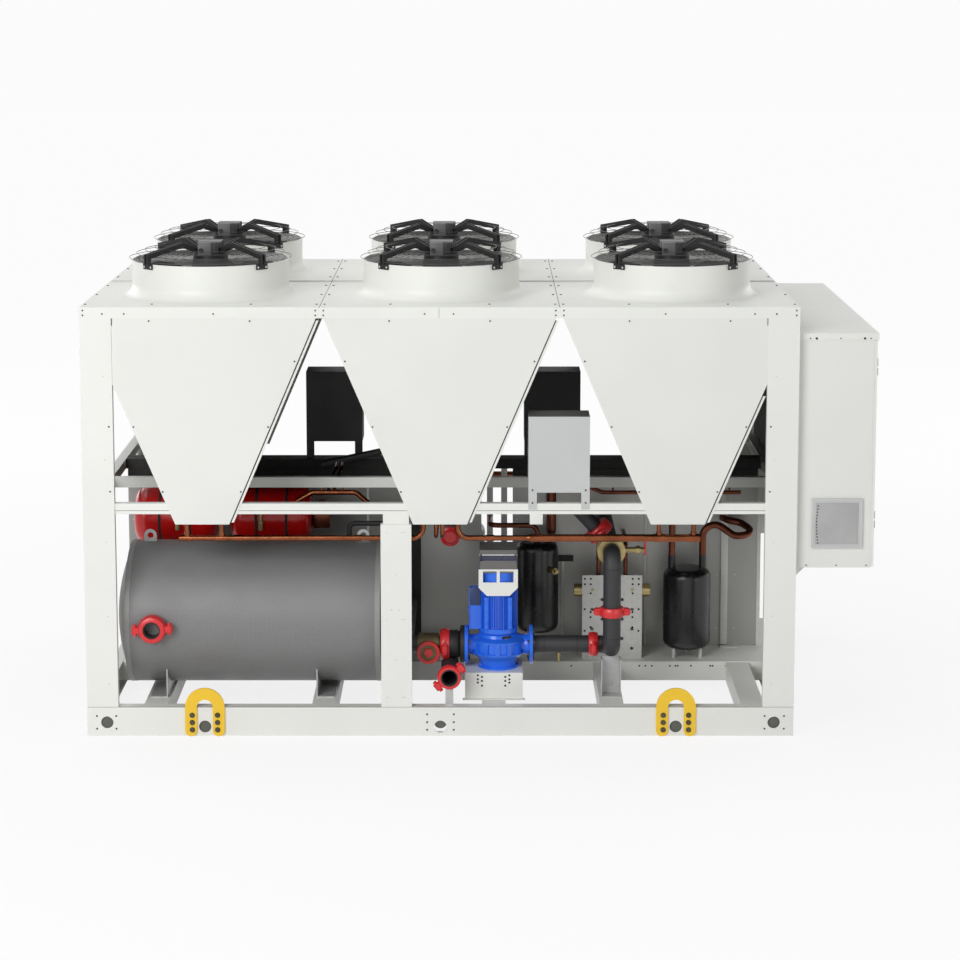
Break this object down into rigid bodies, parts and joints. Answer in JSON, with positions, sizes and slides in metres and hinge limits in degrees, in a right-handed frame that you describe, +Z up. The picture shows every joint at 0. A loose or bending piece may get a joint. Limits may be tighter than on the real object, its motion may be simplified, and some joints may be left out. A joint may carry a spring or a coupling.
{
  "type": "air cooled water chiller",
  "caption": "Open-framed air cooled water chiller: axial fans over V-shaped condenser coils, water tank and pump below, electric cabinet on one end.",
  "frame": {"origin": "on the floor under the middle of the whole unit", "axes": "+X along the unit towards the electric cabinet, +Y to the back, +Z up"},
  "size_m": [3.97, 2.22, 2.462],
  "materials": {
    "white_paint": "satin",
    "yellow_paint": "satin",
    "galvanised": "satin",
    "black_plastic": "matt",
    "dark_metal": "satin",
    "coil_fins": "matt",
    "grey_plastic": "matt",
    "grey_paint": "satin",
    "tank_jacket": "embossed",
    "insulation": "matt",
    "red_paint": "gloss",
    "blue_paint": "gloss",
    "brass": "satin",
    "copper": "polished",
    "black_paint": "satin",
    "fan_blades": "matt"
  },
  "bodies": {
    "frame_and_plant": {"base_long_rails": "white_paint", "base_end_rails": "white_paint", "middle_base_rail": "white_paint", "base_cross_members": "white_paint", "lifting_plates": "yellow_paint", "corner_posts": "white_paint", "centre_posts": "white_paint", "long_beams": "white_paint", "end_beams": "white_paint", "partition_panels": "galvanised", "floor_tray": "white_paint", "top_fascias": "white_paint", "deck_bearers": "white_paint", "deck_centre_rail": "galvanised", "motor_spiders": "black_plastic", "fan_motors": "dark_metal", "condenser_coils": "coil_fins", "v_end_panels": "white_paint", "cabinet_body": "white_paint", "cabinet_roof": "white_paint", "cabinet_doors": "white_paint", "cabinet_fittings": "grey_plastic", "cabinet_vent": "grey_plastic", "cabinet_brackets": "white_paint", "tank_shell": "tank_jacket", "tank_ends": "tank_jacket", "tank_saddles": "galvanised", "water_stubs": "insulation", "pipe_couplings": "red_paint", "pump_stand": "white_paint", "pump_casing": "blue_paint", "pump_motor": "blue_paint", "pump_inverter": "grey_plastic", "suction_line": "brass", "discharge_line": "insulation", "liquid_receivers": "black_paint", "drier_plate": "galvanised", "filter_drier": "brass", "copper_headers": "copper", "expansion_vessels": "red_paint", "drive_boxes": "grey_paint", "compressor_rails": "galvanised", "compressors": "black_paint", "evaporator": "insulation", "support_brackets": "galvanised", "fan_deck_1": "white_paint", "fan_deck_2": "white_paint", "fan_deck_3": "white_paint", "fan_deck_4": "white_paint", "fan_deck_5": "white_paint", "fan_deck_6": "white_paint"},
    "rotor_1": {"fan_rotor_1": "fan_blades"},
    "rotor_2": {"fan_rotor_2": "fan_blades"},
    "rotor_3": {"fan_rotor_3": "fan_blades"},
    "rotor_4": {"fan_rotor_4": "fan_blades"},
    "rotor_5": {"fan_rotor_5": "fan_blades"},
    "rotor_6": {"fan_rotor_6": "fan_blades"}
  },
  "joints": [
    {"name": "fan_spin_1", "type": "hinge", "parent": "frame_and_plant", "child": "rotor_1", "pos_m": [-1.39, -0.51, 2.3], "axis": [0, 0, 1], "continuous": true},
    {"name": "fan_spin_2", "type": "hinge", "parent": "frame_and_plant", "child": "rotor_2", "pos_m": [-0.2, -0.51, 2.3], "axis": [0, 0, 1], "continuous": true},
    {"name": "fan_spin_3", "type": "hinge", "parent": "frame_and_plant", "child": "rotor_3", "pos_m": [0.99, -0.51, 2.3], "axis": [0, 0, 1], "continuous": true},
    {"name": "fan_spin_4", "type": "hinge", "parent": "frame_and_plant", "child": "rotor_4", "pos_m": [-1.39, 0.51, 2.3], "axis": [0, 0, 1], "continuous": true},
    {"name": "fan_spin_5", "type": "hinge", "parent": "frame_and_plant", "child": "rotor_5", "pos_m": [-0.2, 0.51, 2.3], "axis": [0, 0, 1], "continuous": true},
    {"name": "fan_spin_6", "type": "hinge", "parent": "frame_and_plant", "child": "rotor_6", "pos_m": [0.99, 0.51, 2.3], "axis": [0, 0, 1], "continuous": true}
  ]
}
